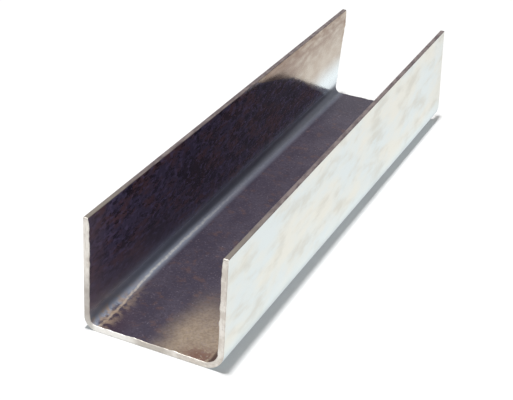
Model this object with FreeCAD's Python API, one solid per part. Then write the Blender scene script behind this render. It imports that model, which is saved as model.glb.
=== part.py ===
"""Steel U-track: one length of steel sheet, folded along two lines into a square-cornered channel.

At the end that faces -Y the flanges stand square to the web.  Towards the end that faces +Y they lean
in over it, more and more, as folded track does where it is cut from a longer length.

Frame: X runs across the track, Y along it and +Z up, out of the open side.  The origin is on the
underside of the web, in the middle of its width and of its length.  All sizes are in millimetres.
The left side is the -X side, as seen from the end that faces -Y.
"""
import FreeCAD
import Part
import math
import os

# ---- driving dimensions ---------------------------------------------------------------------------
TRACK_WIDTH = 73.0       # outside of one flange to the outside of the other, where they stand square
TRACK_HEIGHT = 60.3      # underside of the web to the tips of the flanges
TRACK_LENGTH = 304.8     # one cut end to the other
SHEET_THICKNESS = 3.04   # the sheet it is folded from, the same in web, bends and flanges
LEFT_BEND_RADIUS = 3.4   # inside of the fold on the left
RIGHT_BEND_RADIUS = 6.6  # inside of the fold on the right, the blunter of the two
TOE_IN = 3.0             # degrees that both flanges lean in at the end that faces +Y
TIP_ROUNDING = 0.4       # the worn long edges of the flange tips
END_BREAK = 0.25         # the bevel left by the file round each cut end

# ---- worked out from them -------------------------------------------------------------------------
HALF_WIDTH = TRACK_WIDTH / 2
HALF_LENGTH = TRACK_LENGTH / 2
LARGEST_EDGE_CUT = 0.3 * SHEET_THICKNESS  # two edge cuts share a wall and leave flat steel between them
TIP_RADIUS = min(TIP_ROUNDING, LARGEST_EDGE_CUT)
END_BEVEL = min(END_BREAK, 0.8 * TIP_RADIUS)  # the bevel leaves some of the rounded tip's curve
TOLERANCE = 1e-6

LEFT, RIGHT = -1, +1
OUTER_RADIUS = {LEFT: LEFT_BEND_RADIUS + SHEET_THICKNESS, RIGHT: RIGHT_BEND_RADIUS + SHEET_THICKNESS}


def line(start, end):
    return Part.LineSegment(start, end).toShape()


class Side:
    """One fold and its flange, in a plane across the track.

    "turn" is how far the sheet has folded up from the web, "depth" how far into the sheet from the
    outside.
    """

    def __init__(self, side, y, lean):
        self.side = side
        self.full_turn = math.pi / 2 + lean
        self.centre = FreeCAD.Vector(side * (HALF_WIDTH - OUTER_RADIUS[side]), y, OUTER_RADIUS[side])
        self.outward = self.out_of_the_sheet(self.full_turn)
        self.upward = FreeCAD.Vector(side * math.cos(self.full_turn), 0, math.sin(self.full_turn))
        foot = self.in_fold(0, self.full_turn)
        self.flange_length = (TRACK_HEIGHT - foot.z) / self.upward.z

    def out_of_the_sheet(self, turn):
        return FreeCAD.Vector(self.side * math.sin(turn), 0, -math.cos(turn))

    def in_fold(self, depth, turn):
        return self.centre + self.out_of_the_sheet(turn) * (OUTER_RADIUS[self.side] - depth)

    def in_flange(self, depth, below_tip):
        foot = self.in_fold(depth, self.full_turn)
        return foot + self.upward * (self.flange_length - below_tip)

    def skin(self, depth, below_tip):
        """The fold and the flange, this deep in the sheet, up to a place below the tip."""
        foot = self.in_fold(depth, self.full_turn)
        fold = Part.Arc(self.in_fold(depth, 0), self.in_fold(depth, self.full_turn / 2), foot)
        return [fold.toShape(), line(foot, self.in_flange(depth, below_tip))]

    def tip_corner(self, centre, radius, first, second):
        """The rounded corner between two faces of the tip, given the ways that they face."""
        middle = (first + second) * math.sqrt(0.5)
        return Part.Arc(*[centre + way * radius for way in (first, middle, second)]).toShape()

    def tip(self, inset):
        """The sheet's sheared edge with both of its rounded corners."""
        radius = TIP_RADIUS - inset
        outer = self.in_flange(TIP_RADIUS, TIP_RADIUS)
        inner = self.in_flange(SHEET_THICKNESS - TIP_RADIUS, TIP_RADIUS)
        return [
            self.tip_corner(outer, radius, self.outward, self.upward),
            line(outer + self.upward * radius, inner + self.upward * radius),
            self.tip_corner(inner, radius, self.upward, self.outward * -1),
        ]


def outline(y, lean, inset):
    """Every edge of the folded sheet, cut across at y and drawn in all round by the inset.

    The edges come in the same order in every outline.
    """
    left, right = Side(LEFT, y, lean), Side(RIGHT, y, lean)
    edges = left.tip(inset) + right.tip(inset)
    for depth in (inset, SHEET_THICKNESS - inset):
        edges.append(line(left.in_fold(depth, 0), right.in_fold(depth, 0)))
        edges += left.skin(depth, TIP_RADIUS) + right.skin(depth, TIP_RADIUS)
    return edges


def flat_face(edges):
    return Part.Face(Part.Wire(Part.__sortEdges__(edges)))


def face_between(edge, next_edge):
    """The face from an edge of one outline to the same edge of the next, a flat one if it can be."""
    start, end = edge.firstVertex().Point, edge.lastVertex().Point
    next_start, next_end = next_edge.firstVertex().Point, next_edge.lastVertex().Point
    straight = isinstance(edge.Curve, (Part.Line, Part.LineSegment))
    parallel = (end - start).cross(next_end - next_start).Length < TOLERANCE
    if straight and parallel:
        return Part.Face(Part.makePolygon([start, end, next_end, next_start, start]))
    return Part.makeRuledSurface(edge, next_edge)


def u_track():
    """The whole track: four outlines along its length, the faces between them and the two ends."""
    lean = math.radians(TOE_IN)
    outlines = [
        outline(-HALF_LENGTH, 0, END_BEVEL),
        outline(-HALF_LENGTH + END_BEVEL, 0, 0),
        outline(HALF_LENGTH - END_BEVEL, lean, 0),
        outline(HALF_LENGTH, lean, END_BEVEL),
    ]
    faces = [flat_face(outlines[0]), flat_face(outlines[-1])]
    for edges, next_edges in zip(outlines, outlines[1:]):
        faces += [face_between(edge, next_edge) for edge, next_edge in zip(edges, next_edges)]
    return Part.makeSolid(Part.makeShell(faces))


os.makedirs("parts", exist_ok=True)
track = u_track()
track.exportStep("parts/u_track.step")
box = track.optimalBoundingBox(False)
print(
    f"u_track: {box.XLength:.3f} x {box.YLength:.3f} x {box.ZLength:.3f} mm,"
    f" {track.Volume / 1000:.2f} cm3, {len(track.Solids)} solid, valid {track.isValid()}"
)
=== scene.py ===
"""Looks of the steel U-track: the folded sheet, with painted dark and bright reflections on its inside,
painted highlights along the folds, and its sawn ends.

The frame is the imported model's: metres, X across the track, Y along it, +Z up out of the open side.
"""
import math

import bpy
from mathutils import Matrix, Vector, noise


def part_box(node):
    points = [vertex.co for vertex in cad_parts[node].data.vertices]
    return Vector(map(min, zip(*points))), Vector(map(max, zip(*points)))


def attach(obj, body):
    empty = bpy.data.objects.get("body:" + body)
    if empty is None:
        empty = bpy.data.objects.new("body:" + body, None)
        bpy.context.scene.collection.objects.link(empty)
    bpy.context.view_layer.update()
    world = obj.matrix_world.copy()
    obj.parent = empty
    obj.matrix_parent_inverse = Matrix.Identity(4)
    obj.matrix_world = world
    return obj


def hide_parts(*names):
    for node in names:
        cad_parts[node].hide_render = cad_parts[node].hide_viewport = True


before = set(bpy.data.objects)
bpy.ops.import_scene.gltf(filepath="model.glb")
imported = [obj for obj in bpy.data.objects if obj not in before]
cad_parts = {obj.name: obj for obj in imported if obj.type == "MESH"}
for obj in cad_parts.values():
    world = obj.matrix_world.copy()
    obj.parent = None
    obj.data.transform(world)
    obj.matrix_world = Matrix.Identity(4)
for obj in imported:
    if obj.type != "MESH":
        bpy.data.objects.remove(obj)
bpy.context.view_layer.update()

LOW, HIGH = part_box("u_track")

# ---- the track's own sizes ----
HALF_WIDTH = (HIGH[0] - LOW[0]) / 2
HALF_LENGTH = (HIGH[1] - LOW[1]) / 2
HEIGHT = HIGH[2] - LOW[2]
SHEET = 0.00304          # thickness of the sheet
BEND_RADIUS = {-1: 0.0034, 1: 0.0066}    # inside of the left fold and of the right one
TOE_IN = math.radians(3.0)               # how far the flanges lean in at the end that faces +Y
TIP_ROUNDING = 0.0004    # long edges of the flange tips
END_BREAK = 0.00025      # the filed rim of each cut end

# ---- how finely the sheet is divided ----
FOLD_STEPS = 12
WEB_STEPS = 44           # half of the web
FLANGE_STEPS = 54
RIM_STEPS = 3
LENGTH_STEP = 0.0018     # along the middle of the track
END_GROWTH = 1.35        # each step away from a cut end is this much longer than the last

# ---- relief, all of it cut into the CAD's faces or raised inside the channel ----
WAVE_DEPTH = 0.00012     # the sheet's slow unevenness
SAW_DEPTH = 0.00010      # unevenness of a cut end
BURR_HEIGHT = 0.00060    # the metal pushed over the inner rim of a cut end
BURR_REACH = 0.0009      # how far along the track the burr lies
EDGE_ROLL = 0.00050      # the slit edge's roll-over, on the inner face of each flange
EDGE_ROLL_REACH = 0.007  # how far below the tip it starts
EDGE_ROLL_CURVE = 2.4    # how much of it lies close to the tip
BROAD_WAVE, FINE_WAVE = 0.045, 0.011     # lumps of the sheet's unevenness
BURR_LUMP, BURR_TOOTH = 0.0110, 0.0024   # long lumps of the burr, and the teeth on them
SCRATCH, CHATTER = 0.0007, 0.0050        # fine and coarse marks on a cut end

# ---- painted reflection on the flanges' inner faces ----
DARK_REFLECTION_SLANT = 1.73        # the flanges' painted dark reflection stops this much further from the far end as it rises
DARK_REFLECTION_TOP = 0.043         # above this height it draws back faster
DARK_REFLECTION_TOP_SLANT = 1.5     # by this much more

# ---- the picture ----
VIEW_AZIMUTH = math.radians(23.51)
VIEW_ELEVATION = math.radians(29.29)
VIEW_ROLL = math.radians(3.53)
FOCAL_LENGTH = 93.0      # millimetres
SENSOR_WIDTH = 36.0      # millimetres
CAMERA_PLACE = Vector((0.2386, -0.5911, 0.3616))


# ======== the folded sheet ========

OUTSIDE, INSIDE, TIP, CUT_END = range(4)     # the finishes, in the order of the mesh's materials


class Column:
    """One place round the section: the inner and outer skin there, and the way out of the sheet."""

    def __init__(self, inner, outer, around, from_fold):
        self.inner = Vector(inner)
        self.outer = Vector(outer)
        self.outward = (self.outer - self.inner).normalized()
        self.around = around         # along the inner skin from the web's middle, positive to the right
        self.from_fold = from_fold   # along the inner skin from a fold's middle, positive up the flange
        side = math.copysign(1, around)
        self.upward = side * Vector((-self.outward.y, self.outward.x))

    def at(self, share):
        """share is 0 on the outer skin and 1 on the inner one."""
        return self.outer.lerp(self.inner, share)

    def towards(self, other, share):
        """The column on the straight line from this one to the same one of another cut end."""
        inner = self.inner.lerp(other.inner, share)
        outer = self.outer.lerp(other.outer, share)
        return Column(inner, outer, self.around, self.from_fold)


def half_of_the_sheet(side, lean):
    """The columns from just beside the web's middle to the tip of one flange; side is -1 or 1."""
    radius = BEND_RADIUS[side]
    half_web = HALF_WIDTH - SHEET - radius
    fold_middle = half_web + radius * math.pi / 4
    columns = []

    def add(inner, outer, distance):
        columns.append(Column((side * inner.x, inner.y), (side * outer.x, outer.y),
                              side * distance, distance - fold_middle))

    for step in range(1, WEB_STEPS + 1):
        x = half_web * step / WEB_STEPS
        add(Vector((x, SHEET)), Vector((x, 0)), x)
    centre = Vector((half_web, radius + SHEET))
    full_turn = math.pi / 2 + lean
    for step in range(1, FOLD_STEPS + 1):
        turn = full_turn * step / FOLD_STEPS
        ray = Vector((math.sin(turn), -math.cos(turn)))
        add(centre + ray * radius, centre + ray * (radius + SHEET), half_web + radius * turn)
    upward = Vector((math.cos(full_turn), math.sin(full_turn)))
    inner_foot = centre + ray * radius
    outer_foot = centre + ray * (radius + SHEET)
    length = (HEIGHT - outer_foot.y) / upward.y - TIP_ROUNDING
    for step in range(1, FLANGE_STEPS + 1):
        rise = length * step / FLANGE_STEPS
        add(inner_foot + upward * rise, outer_foot + upward * rise, half_web + radius * full_turn + rise)
    return columns


def all_columns(lean):
    left = half_of_the_sheet(-1, lean)[::-1]
    right = half_of_the_sheet(1, lean)
    middle = Column((0, SHEET), (0, 0), 0, (left[-1].from_fold + right[0].from_fold) / 2)
    return left + [middle] + right


def thickness_rows():
    """The rows through the sheet, from the outer skin to the inner one.

    Each has its share of the thickness and, where it meets a flange tip, how far it stands above the
    start of the tip's rounding.
    """
    turns = [math.radians(angle) for angle in (0, 30, 60, 90)]
    edge = [TIP_ROUNDING * (1 - math.cos(turn)) / SHEET for turn in turns]
    rises = [TIP_ROUNDING * math.sin(turn) for turn in turns]
    middle = [0.32, 0.5, 0.68]
    shares = edge + middle + [1 - share for share in reversed(edge)]
    return shares, rises + [TIP_ROUNDING] * len(middle) + rises[::-1]


class Section:
    """The cross-section as a grid: columns round the sheet, rows through it, and its outline in order."""

    def __init__(self):
        self.near_columns = all_columns(0)
        self.far_columns = all_columns(TOE_IN)
        self.shares, self.rises = thickness_rows()
        self.last_column = len(self.near_columns) - 1
        self.last_row = len(self.shares) - 1
        self.outline = self.round_the_outline()

    def round_the_outline(self):
        """The outer skin from the left tip to the right one, the inner skin back, and both tips."""
        columns = range(self.last_column + 1)
        rows = range(1, self.last_row)
        outer = [(column, 0) for column in columns]
        right_tip = [(self.last_column, row) for row in rows]
        inner = [(column, self.last_row) for column in reversed(columns)]
        left_tip = [(0, row) for row in reversed(rows)]
        return outer + right_tip + inner + left_tip

    def is_tip(self, column):
        return column in (0, self.last_column)

    def column_at(self, column, y):
        share = 0.5 + y / (2 * HALF_LENGTH)
        return self.near_columns[column].towards(self.far_columns[column], share)

    def point(self, spot, column, row, inset=0):
        """inset draws the whole outline in by that much, as the filed rim of a cut end does."""
        kept = 1 - 2 * inset / SHEET
        place = spot.at(inset / SHEET + self.shares[row] * kept)
        if self.is_tip(column):
            place = place + spot.upward * (self.rises[row] - inset)
        return place


def steps_from_an_end():
    """Distances from a cut end to the middle of the track, short at first and LENGTH_STEP later."""
    place = END_BREAK
    step = END_BREAK
    places = [place]
    while place + step < HALF_LENGTH:
        place += step
        places.append(place)
        step = min(step * END_GROWTH, LENGTH_STEP)
    return places[:-1]


def stations():
    """(y, inset) of each ring of the sweep: the filed rim, the length of the track, and the far rim."""
    half = []
    for step in range(RIM_STEPS):
        turn = math.pi / 2 * (1 - step / RIM_STEPS)
        half.append((END_BREAK * (1 - math.sin(turn)), END_BREAK * (1 - math.cos(turn))))
    half += [(place, 0) for place in steps_from_an_end()]
    near = [(-HALF_LENGTH + place, inset) for place, inset in half]
    far = [(HALF_LENGTH - place, inset) for place, inset in reversed(half)]
    return near + [(0, 0)] + far


def uneven(x, y, z, size, seed):
    """Smooth noise from 0 to 1 whose lumps are about this large."""
    return 0.5 + 0.5 * noise.noise(Vector((x, y, z)) / size + Vector((seed, -seed, 2 * seed)))


def wave(place, y):
    """How far the skin lies below the flat sheet."""
    broad = uneven(place.x, y, place.y, BROAD_WAVE, 3.1)
    fine = uneven(place.x, y, place.y, FINE_WAVE, 7.7)
    return WAVE_DEPTH * (0.75 * broad + 0.25 * fine)


def edge_roll(place):
    """How far the slit edge has rolled over, on the inner face of a flange."""
    share = max(0.0, (place.y - HEIGHT + EDGE_ROLL_REACH) / EDGE_ROLL_REACH)
    return EDGE_ROLL * share ** EDGE_ROLL_CURVE


def at_the_end(y):
    """1 on a cut end, falling off along the track."""
    return math.exp(-(HALF_LENGTH - abs(y)) / BURR_REACH)


def burr(place, y):
    """How far the saw pushed metal up over the inner rim."""
    long_lumps = uneven(place.x, y * 0.2, place.y, BURR_LUMP, 11.3)
    ragged = uneven(place.x, y * 0.5, place.y, BURR_TOOTH, 5.9)
    lump = max(0.0, 2.0 * long_lumps - 0.45)
    tooth = max(0.0, 2.4 * ragged - 0.6)
    return BURR_HEIGHT * at_the_end(y) * lump * tooth


def saw_mark(place, y):
    """How far a cut end lies short of the full length."""
    scratches = uneven(place.x * 0.25, math.copysign(1, y), place.y, SCRATCH, 2.3)
    chatter = uneven(place.x, math.copysign(1, y), place.y, CHATTER, 9.1)
    return SAW_DEPTH * at_the_end(y) * (0.4 * scratches + 0.6 * chatter)


def worn(section, column, row, y, inset):
    """A place on or in the sheet, in the frame, after the skins' unevenness has moved it."""
    spot = section.column_at(column, y)
    share = section.shares[row]
    outer_sink = wave(spot.outer, y)
    inner_sink = wave(spot.inner, y) + edge_roll(spot.inner) - burr(spot.inner, y)
    place = section.point(spot, column, row, inset)
    moved = place + spot.outward * (share * inner_sink - (1 - share) * outer_sink)
    if section.is_tip(column):
        moved -= spot.upward * outer_sink
    return Vector((moved.x, y - math.copysign(saw_mark(place, y), y), moved.y + LOW[2]))


class TrackMesh:
    """The track's vertices and faces, with each face's finish and its place on the unrolled sheet."""

    def __init__(self):
        self.section = Section()
        self.vertices = []
        self.from_fold = []
        self.faces = []
        self.finishes = []
        self.sheet_places = []
        self.unrolled = self.unroll_the_outline()
        rings = [self.ring(y, inset) for y, inset in stations()]
        self.sweep(rings)
        self.cap(rings[0], -HALF_LENGTH)
        self.cap(rings[-1], HALF_LENGTH)

    def unroll_the_outline(self):
        """The distance round the section to each place on the outline, and back to the first."""
        columns = self.section.near_columns
        places = [self.section.point(columns[column], column, row) for column, row in self.section.outline]
        distances = [0.0]
        for place, following in zip(places, places[1:] + places[:1]):
            distances.append(distances[-1] + (following - place).length)
        return distances

    def add_vertex(self, column, row, y, inset):
        self.vertices.append(worn(self.section, column, row, y, inset))
        self.from_fold.append(self.section.near_columns[column].from_fold)
        return len(self.vertices) - 1

    def ring(self, y, inset):
        return [self.add_vertex(column, row, y, inset) for column, row in self.section.outline]

    def add_face(self, corners, finish, sheet_places):
        self.faces.append(corners)
        self.finishes.append(finish)
        self.sheet_places.append(sheet_places)

    def finish_of(self, start, end, in_rim):
        rows = {start[1], end[1]}
        if in_rim:
            return CUT_END
        if rows == {0}:
            return OUTSIDE
        if rows == {self.section.last_row}:
            return INSIDE
        return TIP

    def sweep(self, rings):
        outline = self.section.outline
        count = len(outline)
        places_along = [y for y, inset in stations()]
        for level in range(len(rings) - 1):
            in_rim = min(level, len(rings) - 2 - level) < RIM_STEPS
            near, far = places_along[level], places_along[level + 1]
            ring, next_ring = rings[level], rings[level + 1]
            for start in range(count):
                end = (start + 1) % count
                corners = (ring[start], ring[end], next_ring[end], next_ring[start])
                left, right = self.unrolled[start], self.unrolled[start + 1]
                places = ((left, near), (right, near), (right, far), (left, far))
                self.add_face(corners, self.finish_of(outline[start], outline[end], in_rim), places)

    def cap(self, ring, y):
        """Closes one cut end with a grid across the sheet's thickness."""
        section = self.section
        index = dict(zip(section.outline, ring))
        for column in range(1, section.last_column):
            for row in range(1, section.last_row):
                index[column, row] = self.add_vertex(column, row, y, END_BREAK)
        for column in range(section.last_column):
            for row in range(section.last_row):
                cells = [(column, row), (column + 1, row), (column + 1, row + 1), (column, row + 1)]
                if y > 0:
                    cells.reverse()
                places = [self.cap_place(cell, y) for cell in cells]
                self.add_face([index[cell] for cell in cells], CUT_END, places)

    def cap_place(self, cell, y):
        """Beside the unrolled skins, a little way off."""
        column, row = cell
        offset = HALF_LENGTH + SHEET * (0.7 + self.section.shares[row])
        across = self.section.near_columns[column].around + self.unrolled[-1] / 2
        return across, math.copysign(offset, y)

    def build(self, name):
        mesh = bpy.data.meshes.new(name)
        mesh.from_pydata(self.vertices, [], self.faces)
        mesh.polygons.foreach_set("material_index", self.finishes)
        mesh.polygons.foreach_set("use_smooth", [True] * len(self.faces))
        from_fold = mesh.attributes.new("from_fold", "FLOAT", "POINT")
        from_fold.data.foreach_set("value", self.from_fold)
        size = 1.01 * self.unrolled[-1]
        flat = []
        for places in self.sheet_places:
            for across, along in places:
                flat += [across / size + 0.005, along / size + 0.5]
        mesh.uv_layers.new(name="OFBake").uv.foreach_set("vector", flat)
        mesh.validate()
        mesh.update()
        return mesh


# ======== materials ========

def srgb(red, green, blue):
    """A colour as it looks on a screen, from 0 to 255, as the shader takes it."""
    def linear(value):
        value /= 255
        return value / 12.92 if value <= 0.04045 else ((value + 0.055) / 1.055) ** 2.4
    return (linear(red), linear(green), linear(blue), 1)


class Paint:
    """One material, and short names for the nodes that colour it."""

    def __init__(self, name, **surface):
        self.material = bpy.data.materials.new(name)
        self.material.use_nodes = True
        self.nodes = self.material.node_tree.nodes
        self.links = self.material.node_tree.links
        self.surface = self.nodes["Principled BSDF"]
        self.place = self.nodes.new("ShaderNodeTexCoord").outputs["Object"]
        split = self.add("ShaderNodeSeparateXYZ", {"Vector": self.place})
        self.x, self.y, self.z = split.outputs
        for name, value in surface.items():
            self.surface.inputs[name.replace("_", " ")].default_value = value

    def add(self, kind, inputs, **settings):
        node = self.nodes.new(kind)
        for name, value in settings.items():
            setattr(node, name, value)
        for name, value in inputs.items():
            if isinstance(value, bpy.types.NodeSocket):
                self.links.new(value, node.inputs[name])
            else:
                node.inputs[name].default_value = value
        return node

    def feed(self, name, value):
        self.links.new(value, self.surface.inputs[name])

    def from_fold(self):
        """Distance along the skin from the nearer fold's middle, positive up the flange."""
        return self.add("ShaderNodeAttribute", {}, attribute_name="from_fold").outputs["Fac"]

    def math(self, operation, first, second=0.0):
        node = self.add("ShaderNodeMath", {0: first, 1: second}, operation=operation)
        return node.outputs[0]

    def band(self, value, low, high):
        """0 where value is at low, 1 where it is at high, and smooth between."""
        inputs = {"Value": value, "From Min": low, "From Max": high}
        return self.add("ShaderNodeMapRange", inputs, interpolation_type="SMOOTHSTEP").outputs["Result"]

    def both(self, first, second):
        return self.math("MULTIPLY", first, second)

    def share(self, mask, strength):
        """A mask that lets only this much of the colour beneath it change."""
        return self.math("MULTIPLY", mask, strength)

    def noise(self, size, seed, detail=3.0, stretch=(1, 1, 1)):
        """Noise from 0 to 1 with lumps of this size in metres, longer along an axis that is stretched."""
        scale = [1 / (size * factor) for factor in stretch]
        mapping = {"Vector": self.place, "Location": (seed, seed, seed), "Scale": scale}
        moved = self.add("ShaderNodeMapping", mapping)
        inputs = {"Vector": moved.outputs[0], "Scale": 1.0, "Detail": detail, "Roughness": 0.55}
        return self.add("ShaderNodeTexNoise", inputs).outputs["Fac"]

    def mix(self, share, first, second):
        node = self.add("ShaderNodeMix", {0: share, 6: first, 7: second}, data_type="RGBA")
        return node.outputs[2]

    def blend(self, share, first, second):
        """The same for plain numbers."""
        node = self.add("ShaderNodeMix", {0: share, 2: first, 3: second}, data_type="FLOAT")
        return node.outputs[0]

    def bump(self, height, depth):
        node = self.add("ShaderNodeBump", {"Height": height, "Distance": depth, "Strength": 1.0})
        self.feed("Normal", node.outputs[0])


def outside_steel():
    """The outer skin: pale bright steel with cream and bluish clouding, a painted reflection low down and
    painted shade at the very bottom.
    """
    paint = Paint("steel_outside", Metallic=0.85)
    clouds = paint.noise(0.020, 3.0, detail=4, stretch=(1, 2.4, 1))
    streaks = paint.noise(0.009, 8.0, detail=5, stretch=(1, 2.8, 1))
    flecks = paint.noise(0.0026, 5.0, detail=4, stretch=(1, 2.0, 1))
    colour = paint.mix(paint.band(clouds, 0.36, 0.64), srgb(230, 238, 238), srgb(239, 238, 228))
    colour = paint.mix(paint.share(paint.band(streaks, 0.46, 0.70), 0.7), colour, srgb(217, 215, 204))
    colour = paint.mix(paint.share(paint.band(flecks, 0.64, 0.82), 0.35), colour, srgb(188, 186, 178))
    # painted reflection: bluish white towards the bottom of the outer face
    colour = paint.mix(paint.share(paint.band(paint.z, 0.018, 0.004), 0.8), colour, srgb(232, 245, 248))
    # painted shade: darker grey-blue along the very bottom
    colour = paint.mix(paint.share(paint.band(paint.z, 0.0110, 0.0020), 0.8), colour, srgb(176, 190, 196))
    # greyer towards the far end, following the clouds
    far_grey = paint.both(paint.band(paint.y, 0.120, 0.150), paint.band(clouds, 0.35, 0.60))
    colour = paint.mix(paint.share(far_grey, 0.15), colour, srgb(196, 196, 192))
    paint.feed("Base Color", colour)
    paint.feed("Roughness", paint.blend(streaks, 0.26, 0.42))
    paint.bump(paint.noise(0.0006, 2.0, detail=4), 0.00002)
    return paint.material


def web_reflection_and_rust(paint, clouds, grain):
    """The web: dark purple-grey that stands for the dark surroundings it reflects (painted reflection),
    with brown rust, pale dust and a painted tan reflection near one corner.
    """
    # painted reflection: the web's dark purple-grey stands for the dark surroundings it mirrors
    colour = paint.mix(paint.band(clouds, 0.36, 0.64), srgb(56, 49, 66), srgb(70, 63, 78))
    colour = paint.mix(paint.share(paint.band(grain, 0.46, 0.70), 0.8), colour, srgb(54, 45, 58))
    rust = paint.band(paint.noise(0.0045, 12.0, detail=5), 0.54, 0.70)
    colour = paint.mix(paint.share(rust, 0.40), colour, srgb(104, 76, 68))
    front = paint.both(paint.band(paint.y, -0.120, -0.150), paint.band(paint.x, -0.011, -0.023))
    colour = paint.mix(paint.share(front, 0.75), colour, srgb(56, 36, 52))
    # painted reflection: a tan patch on the web near its front right corner
    wander = paint.math("MULTIPLY", paint.math("SUBTRACT", paint.noise(0.011, 21.0, detail=4), 0.5), 0.012)
    tan_reflection = paint.both(
        paint.band(paint.math("ADD", paint.x, wander), -0.006, 0.012),
        paint.band(paint.math("ADD", paint.y, wander), -0.090, -0.134),
    )
    tan_reflection = paint.both(tan_reflection, paint.blend(paint.noise(0.0040, 52.0, detail=5), 0.65, 1.0))
    reflected_tan = paint.mix(paint.band(grain, 0.36, 0.66), srgb(168, 151, 131), srgb(150, 132, 111))
    colour = paint.mix(tan_reflection, colour, reflected_tan)
    at_far_end = paint.band(paint.y, 0.100, 0.140)
    colour = paint.mix(paint.share(at_far_end, 0.70), colour, srgb(48, 42, 56))
    corner = paint.both(paint.band(paint.y, -0.139, -0.149), paint.band(paint.x, 0.010, 0.022))
    corner = paint.both(corner, paint.band(paint.noise(0.0026, 33.0, detail=4), 0.36, 0.48))
    colour = paint.mix(paint.share(corner, 0.85), colour, srgb(108, 72, 60))
    speckle = paint.band(paint.noise(0.0009, 61.0, detail=3), 0.56, 0.72)
    colour = paint.mix(paint.share(speckle, 0.5), colour, srgb(122, 110, 122))
    dust = paint.band(paint.noise(0.0016, 44.0, detail=1), 0.74, 0.80)
    return paint.mix(paint.share(dust, 0.4), colour, srgb(168, 160, 170))


def flange_dark_reflection(paint, clouds, grain):
    """Painted reflection: the dark colour over most of a flange's inside, standing for the dark web it
    mirrors, mottled and specked.
    """
    maroon = paint.band(paint.noise(0.0060, 15.0, detail=5, stretch=(1, 2.6, 1)), 0.42, 0.60)
    colour = paint.mix(maroon, srgb(100, 92, 124), srgb(122, 90, 98))
    colour = paint.mix(paint.share(paint.band(clouds, 0.52, 0.64), 0.75), colour, srgb(46, 41, 60))
    far_dark = paint.both(paint.band(paint.y, 0.010, 0.040), paint.band(paint.z, 0.026, 0.036))
    colour = paint.mix(paint.share(far_dark, 0.40), colour, srgb(54, 46, 60))
    dark_specks = paint.band(paint.noise(0.0026, 63.0, detail=3, stretch=(1, 2.2, 1)), 0.50, 0.60)
    colour = paint.mix(paint.share(dark_specks, 0.7), colour, srgb(40, 34, 52))
    pale_specks = paint.band(paint.noise(0.0022, 71.0, detail=3, stretch=(1, 2.2, 1)), 0.53, 0.63)
    colour = paint.mix(paint.share(pale_specks, 0.65), colour, srgb(134, 122, 164))
    colour = paint.mix(paint.share(paint.band(grain, 0.50, 0.66), 0.4), colour, srgb(60, 50, 68))
    # painted highlight: lighter low on the flange towards the front
    low_front_highlight = paint.both(paint.band(paint.z, 0.036, 0.012), paint.band(paint.y, -0.030, -0.110))
    colour = paint.mix(paint.share(low_front_highlight, 0.6), colour, srgb(134, 124, 140))
    at_front = paint.band(paint.y, -0.130, -0.150)
    return paint.mix(paint.share(at_front, 0.45), colour, srgb(136, 120, 132))


def flange_bright_reflection(paint, clouds, grain):
    """Painted reflection towards the far end, partly real too as the face is fully metallic there: tan and
    brown above, bluish white low down.
    """
    mottle = paint.noise(0.0065, 9.0, detail=5, stretch=(1, 1.8, 1))
    colour = paint.mix(paint.band(mottle, 0.30, 0.70), srgb(198, 187, 172), srgb(182, 166, 149))
    streaks = paint.noise(0.0035, 19.0, detail=4, stretch=(1, 3.0, 1))
    brown = paint.both(paint.band(paint.z, 0.034, 0.056), paint.band(streaks, 0.26, 0.66))
    colour = paint.mix(paint.share(brown, 0.85), colour, srgb(138, 112, 94))
    # painted reflection, darker brown high up at its near end
    dimmer_reflection_end = paint.both(paint.band(paint.z, 0.036, 0.046), paint.band(paint.y, 0.100, 0.065))
    colour = paint.mix(paint.share(dimmer_reflection_end, 0.5), colour, srgb(128, 100, 84))
    blue = paint.both(paint.band(paint.z, 0.034, 0.016), paint.band(paint.y, 0.085, 0.130))
    colour = paint.mix(paint.share(blue, 0.95), colour, srgb(236, 248, 252))
    return paint.mix(paint.share(paint.band(grain, 0.55, 0.75), 0.3), colour, srgb(150, 138, 130))


def front_of_left_fold(paint):
    """The stretch of the left fold near the front, where the painted highlight along it is broken in
    places.
    """
    return paint.both(paint.band(paint.y, -0.098, -0.140), paint.band(paint.x, -0.010, -0.020))


def fold_painted_sheen(paint, colour, from_fold, at_front):
    """Painted highlight along the folds: bluish grey on the left, brown on the right."""
    up = paint.band(from_fold, 0.0130, 0.0010)
    down = paint.band(from_fold, -0.0062, -0.0018)
    patchy = paint.blend(paint.noise(0.010, 17.0, detail=4, stretch=(1, 2.5, 1)), 0.55, 1.0)
    patchy = paint.both(patchy, paint.blend(paint.band(paint.y, -0.010, -0.120), 0.62, 1.0))
    sheen_broken = paint.both(at_front, paint.band(paint.noise(0.0045, 83.0, detail=5), 0.42, 0.54))
    sheen_broken = paint.both(sheen_broken, paint.band(from_fold, 0.0, -0.0030))
    patchy = paint.both(patchy, paint.blend(sheen_broken, 1.0, 0.15))
    sheen_colour = paint.mix(paint.band(paint.x, 0.005, 0.015), srgb(156, 164, 180), srgb(72, 58, 52))
    return paint.mix(paint.both(paint.both(up, down), patchy), colour, sheen_colour)


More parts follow.
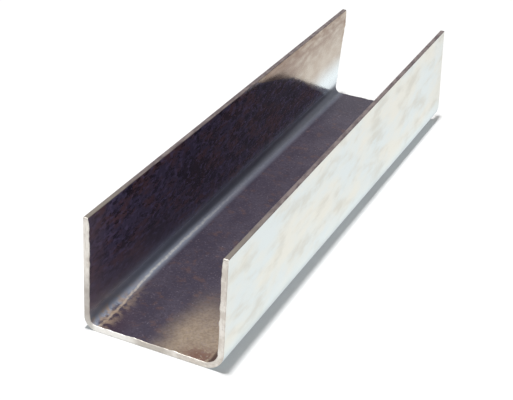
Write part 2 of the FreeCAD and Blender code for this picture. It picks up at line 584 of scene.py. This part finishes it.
def fold_highlight_line(paint, colour, from_fold, at_front):
    """The thin pale line of painted highlight beside a fold.

    It is clear on the left and faint on the right, fades towards the far end, and is weaker where the
    painted highlight along the fold is broken.
    """
    waver = paint.share(paint.math("SUBTRACT", paint.noise(0.0050, 37.0, detail=4), 0.5), 0.0022)
    drawn_down = paint.share(paint.band(paint.y, -0.095, -0.140), 0.0024)
    wavering = paint.math("ADD", paint.math("ADD", from_fold, waver), drawn_down)
    line = paint.both(paint.band(wavering, -0.0030, -0.0023), paint.band(wavering, -0.0010, -0.0017))
    dotted = paint.band(paint.noise(0.0016, 27.0, detail=4, stretch=(1, 1.5, 1)), 0.40, 0.58)
    line = paint.both(line, paint.blend(dotted, 0.45, 1.0))
    line = paint.both(line, paint.blend(paint.band(paint.y, 0.020, -0.100), 0.15, 1.0))
    line = paint.both(line, paint.blend(at_front, 1.0, 0.55))
    line = paint.both(line, paint.blend(paint.band(paint.x, 0.010, -0.010), 0.20, 1.0))
    pale = paint.mix(paint.band(paint.y, -0.100, -0.140), srgb(184, 184, 182), srgb(222, 200, 172))
    return paint.mix(line, colour, pale)


def front_blotches(paint, colour, from_fold, at_front):
    """Tan blotches on the web beside the left fold, near the front."""
    blotches = paint.both(at_front, paint.band(from_fold, -0.0120, -0.0040))
    blotches = paint.both(blotches, paint.band(from_fold, 0.0030, -0.0006))
    blotches = paint.both(blotches, paint.band(paint.noise(0.0038, 91.0, detail=4), 0.42, 0.64))
    return paint.mix(paint.share(blotches, 0.8), colour, srgb(168, 146, 126))


def inside_steel():
    """The inner skin: painted dark reflection on the web and most of the flanges, a painted bright
    reflection towards the far end of the glossier flanges, and painted highlights along the folds.
    """
    paint = Paint("steel_inside")
    from_fold = paint.from_fold()
    on_flange = paint.band(from_fold, 0.0015, 0.0070)
    clouds = paint.noise(0.013, 4.0, detail=4, stretch=(1, 1.6, 1))
    grain = paint.noise(0.0013, 6.0, detail=5)
    # painted reflection: where the flanges' dark part ends, slanting back from the far end as it rises
    before_far_end = paint.math("SUBTRACT", HALF_LENGTH, paint.y)
    near_tip = paint.math("MAXIMUM", paint.math("SUBTRACT", paint.z, DARK_REFLECTION_TOP), 0.0)
    slant = paint.math("ADD", paint.share(paint.z, DARK_REFLECTION_SLANT), paint.share(near_tip, DARK_REFLECTION_TOP_SLANT))
    beyond_dark_reflection = paint.math("SUBTRACT", before_far_end, slant)
    ragged = paint.math("MULTIPLY", paint.math("SUBTRACT", clouds, 0.5), 0.010)
    in_dark_reflection = paint.band(paint.math("ADD", beyond_dark_reflection, ragged), 0.001, 0.005)
    flange = paint.mix(in_dark_reflection, flange_bright_reflection(paint, clouds, grain), flange_dark_reflection(paint, clouds, grain))
    colour = paint.mix(on_flange, web_reflection_and_rust(paint, clouds, grain), flange)
    at_front = front_of_left_fold(paint)
    for mark in (fold_painted_sheen, fold_highlight_line, front_blotches):
        colour = mark(paint, colour, from_fold, at_front)
    paint.feed("Base Color", colour)
    paint.feed("Metallic", paint.blend(on_flange, 0.30, paint.blend(in_dark_reflection, 1.0, 0.40)))
    rough_web = paint.blend(grain, 0.45, 0.65)
    rough_flange = paint.blend(clouds, 0.13, 0.22)
    paint.feed("Roughness", paint.blend(on_flange, rough_web, rough_flange))
    paint.bump(grain, 0.00003)
    return paint.material


def tip_steel():
    """The slit edges along the flange tips, brown-grey."""
    paint = Paint("steel_tips", Metallic=0.5)
    lumps = paint.noise(0.003, 7.0, detail=4, stretch=(1, 3, 1))
    colour = paint.mix(paint.band(lumps, 0.40, 0.62), srgb(122, 110, 108), srgb(90, 78, 80))
    near_front = paint.band(paint.y, -0.090, -0.150)
    paint.feed("Base Color", paint.mix(near_front, colour, srgb(124, 116, 108)))
    paint.feed("Roughness", paint.blend(lumps, 0.4, 0.6))
    paint.bump(lumps, 0.00003)
    return paint.material


def cut_end_steel():
    """The sawn ends: bright bare metal with fine scratches."""
    paint = Paint("steel_cut_ends", Metallic=0.7)
    up_the_flange = paint.band(paint.z, 0.007, 0.012)
    across = paint.noise(0.0005, 1.0, detail=4, stretch=(6, 1, 1))
    upright = paint.noise(0.0005, 6.0, detail=4, stretch=(1, 1, 8))
    scratches = paint.blend(up_the_flange, across, upright)
    patches = paint.noise(0.005, 5.0)
    colour = paint.mix(paint.band(patches, 0.38, 0.66), srgb(248, 243, 235), srgb(222, 214, 204))
    mid_web = paint.both(paint.band(paint.x, -0.016, -0.006), paint.band(paint.x, 0.014, 0.004))
    mid_web = paint.both(mid_web, paint.band(paint.z, 0.007, 0.003))
    colour = paint.mix(paint.share(mid_web, 0.8), colour, srgb(192, 184, 174))
    colour = paint.mix(paint.share(paint.band(scratches, 0.50, 0.76), 0.7), colour, srgb(196, 190, 182))
    # painted highlight: lighter low on the left of the web's cut face
    left_web_highlight = paint.both(paint.band(paint.z, 0.006, 0.003), paint.band(paint.x, -0.004, -0.016))
    colour = paint.mix(paint.share(left_web_highlight, 0.85), colour, srgb(255, 253, 248))
    # painted shade: greyer on the cut face beside the left fold
    left_painted_shade = paint.both(paint.band(paint.z, 0.034, 0.020), paint.band(paint.x, -0.030, -0.033))
    colour = paint.mix(paint.share(left_painted_shade, 0.6), colour, srgb(172, 166, 160))
    paint.feed("Base Color", colour)
    paint.feed("Roughness", paint.blend(scratches, 0.35, 0.55))
    paint.bump(scratches, 0.00004)
    return paint.material


def make_track():
    mesh = TrackMesh().build("folded_track")
    for make in (outside_steel, inside_steel, tip_steel, cut_end_steel):
        mesh.materials.append(make())
    track = bpy.data.objects.new("folded_track", mesh)
    bpy.context.scene.collection.objects.link(track)
    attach(track, "root")
    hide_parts("u_track")
    return track


# ======== floor, light and camera ========

FLOOR_SIZE = 1.8
FLOOR_GAP = 0.0001        # keeps the floor and the underside apart
SEEN_WHITE = 0.08         # how much of the floor's white needs no light, to the camera
MIRRORED_WHITE = 0.85     # and in a reflection
SOFT_LIGHT = 0.24         # of the world, on the object
FLOOR_COLOUR = (0.95, 0.95, 0.95, 1)
LAMP_SIZE = 0.18
LAMP_POWER = 52.0         # watts
LAMP_PLACE = Vector((-0.08, -0.16, 2.4))


def ray_share(tree, to_camera, to_reflection):
    """One number for the camera's rays, another for reflected and refracted ones, and 0 for the rest."""
    path = tree.nodes.new("ShaderNodeLightPath")
    total = None
    for name, value in (("Is Camera Ray", to_camera), ("Is Glossy Ray", to_reflection),
                        ("Is Transmission Ray", to_reflection)):
        scaled = tree.nodes.new("ShaderNodeMath")
        scaled.operation = "MULTIPLY"
        scaled.inputs[1].default_value = value
        tree.links.new(path.outputs[name], scaled.inputs[0])
        if total is None:
            total = scaled.outputs[0]
            continue
        larger = tree.nodes.new("ShaderNodeMath")
        larger.operation = "MAXIMUM"
        tree.links.new(total, larger.inputs[0])
        tree.links.new(scaled.outputs[0], larger.inputs[1])
        total = larger.outputs[0]
    return total


def make_world():
    world = bpy.data.worlds.new("studio")
    world.use_nodes = True
    bpy.context.scene.world = world
    tree = world.node_tree
    strength = tree.nodes.new("ShaderNodeMapRange")
    strength.inputs["To Min"].default_value = SOFT_LIGHT
    strength.inputs["To Max"].default_value = 1.0
    tree.links.new(ray_share(tree, 1.0, 1.0), strength.inputs["Value"])
    background = tree.nodes["Background"]
    background.inputs["Color"].default_value = (1, 1, 1, 1)
    tree.links.new(strength.outputs["Result"], background.inputs["Strength"])


def floor_material():
    material = bpy.data.materials.new("pale_floor")
    material.use_nodes = True
    tree = material.node_tree
    tree.nodes.remove(tree.nodes["Principled BSDF"])
    diffuse = tree.nodes.new("ShaderNodeBsdfDiffuse")
    diffuse.inputs["Color"].default_value = FLOOR_COLOUR
    glow = tree.nodes.new("ShaderNodeEmission")
    mix = tree.nodes.new("ShaderNodeMixShader")
    tree.links.new(ray_share(tree, SEEN_WHITE, MIRRORED_WHITE), mix.inputs[0])
    tree.links.new(diffuse.outputs[0], mix.inputs[1])
    tree.links.new(glow.outputs[0], mix.inputs[2])
    tree.links.new(mix.outputs[0], tree.nodes["Material Output"].inputs["Surface"])
    return material


def make_floor():
    half = FLOOR_SIZE / 2
    level = LOW[2] - FLOOR_GAP
    mesh = bpy.data.meshes.new("floor")
    corners = [(-half, -half, level), (half, -half, level), (half, half, level), (-half, half, level)]
    mesh.from_pydata(corners, [], [(0, 1, 2, 3)])
    mesh.materials.append(floor_material())
    floor = bpy.data.objects.new("floor", mesh)
    bpy.context.scene.collection.objects.link(floor)


def make_lamp():
    """A soft lamp overhead, a little to the left, so that the shadow falls close by on the right."""
    lamp = bpy.data.lights.new("softbox", "AREA")
    lamp.shape = "DISK"
    lamp.size = LAMP_SIZE
    lamp.energy = LAMP_POWER
    place = bpy.data.objects.new("softbox", lamp)
    place.location = LAMP_PLACE
    place.rotation_euler = (-LAMP_PLACE).to_track_quat("-Z", "Y").to_euler()
    bpy.context.scene.collection.objects.link(place)


def make_camera():
    lens = bpy.data.cameras.new("camera")
    lens.lens = FOCAL_LENGTH
    lens.sensor_width = SENSOR_WIDTH
    camera = bpy.data.objects.new("camera", lens)
    back = Vector((math.sin(VIEW_AZIMUTH) * math.cos(VIEW_ELEVATION),
                   -math.cos(VIEW_AZIMUTH) * math.cos(VIEW_ELEVATION), math.sin(VIEW_ELEVATION)))
    turn = back.to_track_quat("Z", "Y").to_matrix() @ Matrix.Rotation(VIEW_ROLL, 3, "Z")
    camera.matrix_world = Matrix.Translation(CAMERA_PLACE) @ turn.to_4x4()
    bpy.context.scene.collection.objects.link(camera)
    bpy.context.scene.camera = camera


make_track()
make_floor()
make_world()
make_lamp()
make_camera()
bpy.context.scene.view_settings.view_transform = "Standard"
